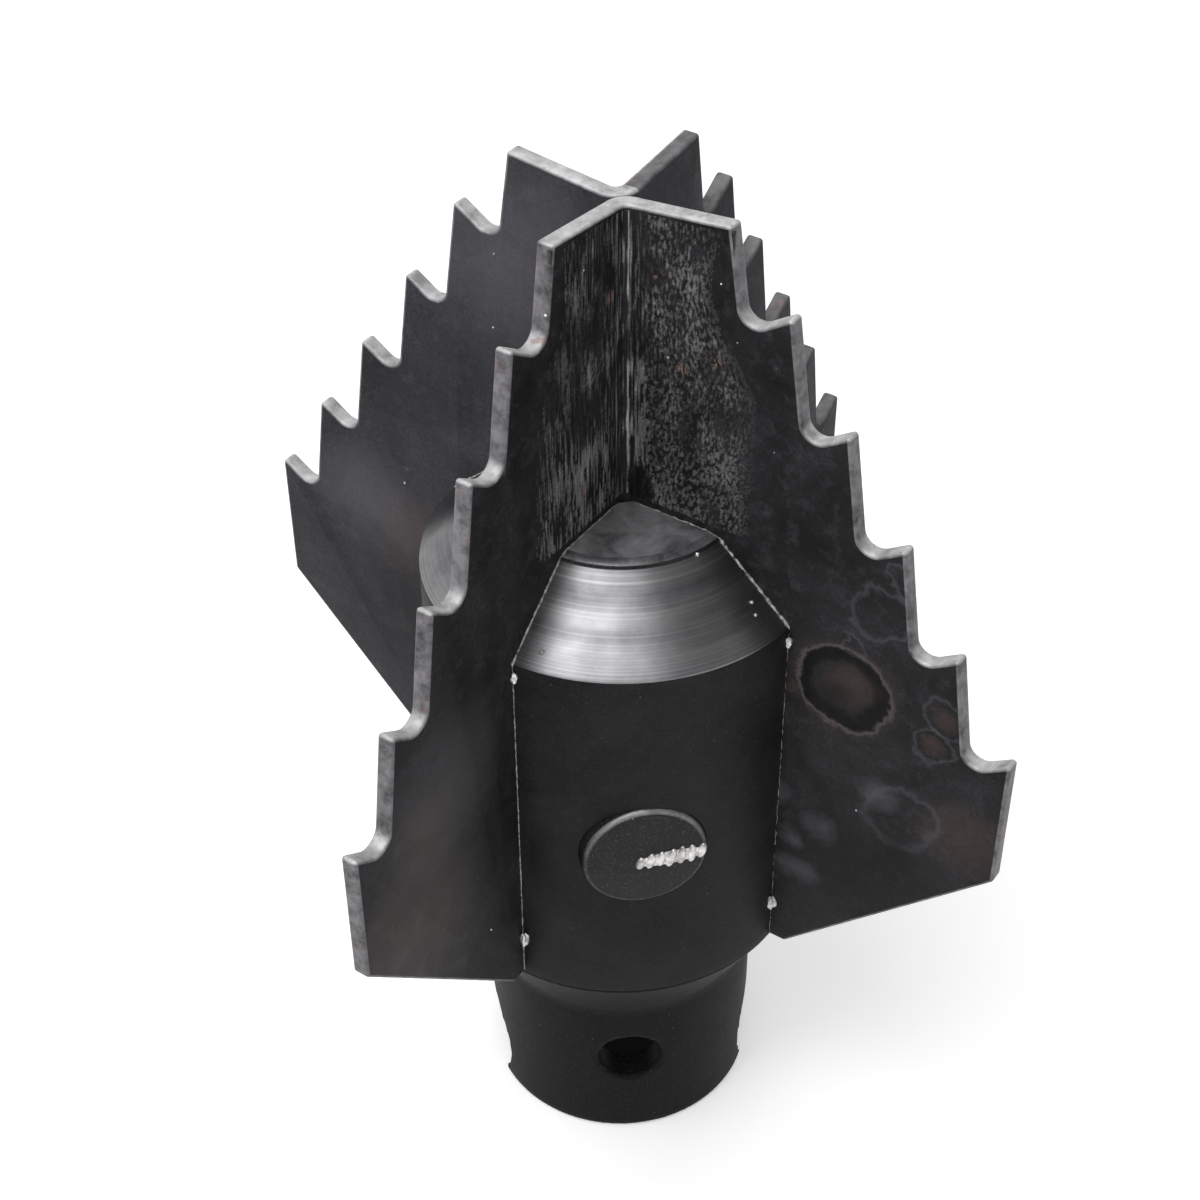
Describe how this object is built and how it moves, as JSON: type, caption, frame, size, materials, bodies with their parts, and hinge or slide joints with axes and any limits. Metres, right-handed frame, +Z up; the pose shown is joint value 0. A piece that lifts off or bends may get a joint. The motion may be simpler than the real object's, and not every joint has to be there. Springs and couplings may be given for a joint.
{
  "type": "earth auger bit",
  "caption": "Stepped cross-wing auger bit with hooked teeth, a coned hub and a pinned drive socket.",
  "frame": {"origin": "centre of the drive socket's bottom face, which the bit stands on", "axes": "+Z up the auger's axis to the first teeth; the front quarter between the two wings of the front plate opens towards -Y"},
  "size_m": [0.1796, 0.181, 0.3239],
  "materials": {
    "mill_scale_plate": "hot rolled mill scale, lightly rusted",
    "turned_block_steel": "blackened bar with a bright turned cone",
    "plug_steel": "blackened with bare gouges",
    "blackened_socket": "dark scale with a satin sheen",
    "weld_metal": "bright uneven weld metal"
  },
  "bodies": {
    "root": {"front_wing_plate": "mill_scale_plate", "rear_wing_plate": "mill_scale_plate", "drive_socket": "blackened_socket", "spine_weld_left": "weld_metal", "spine_weld_right": "weld_metal", "upper_tack_welds": "weld_metal", "lower_tack_welds": "weld_metal", "nose_block_front": "turned_block_steel", "block_plug_front": "plug_steel", "nose_block_right": "turned_block_steel", "block_plug_right": "plug_steel", "nose_block_rear": "turned_block_steel", "block_plug_rear": "plug_steel", "nose_block_left": "turned_block_steel", "block_plug_left": "plug_steel"}
  },
  "joints": []
}
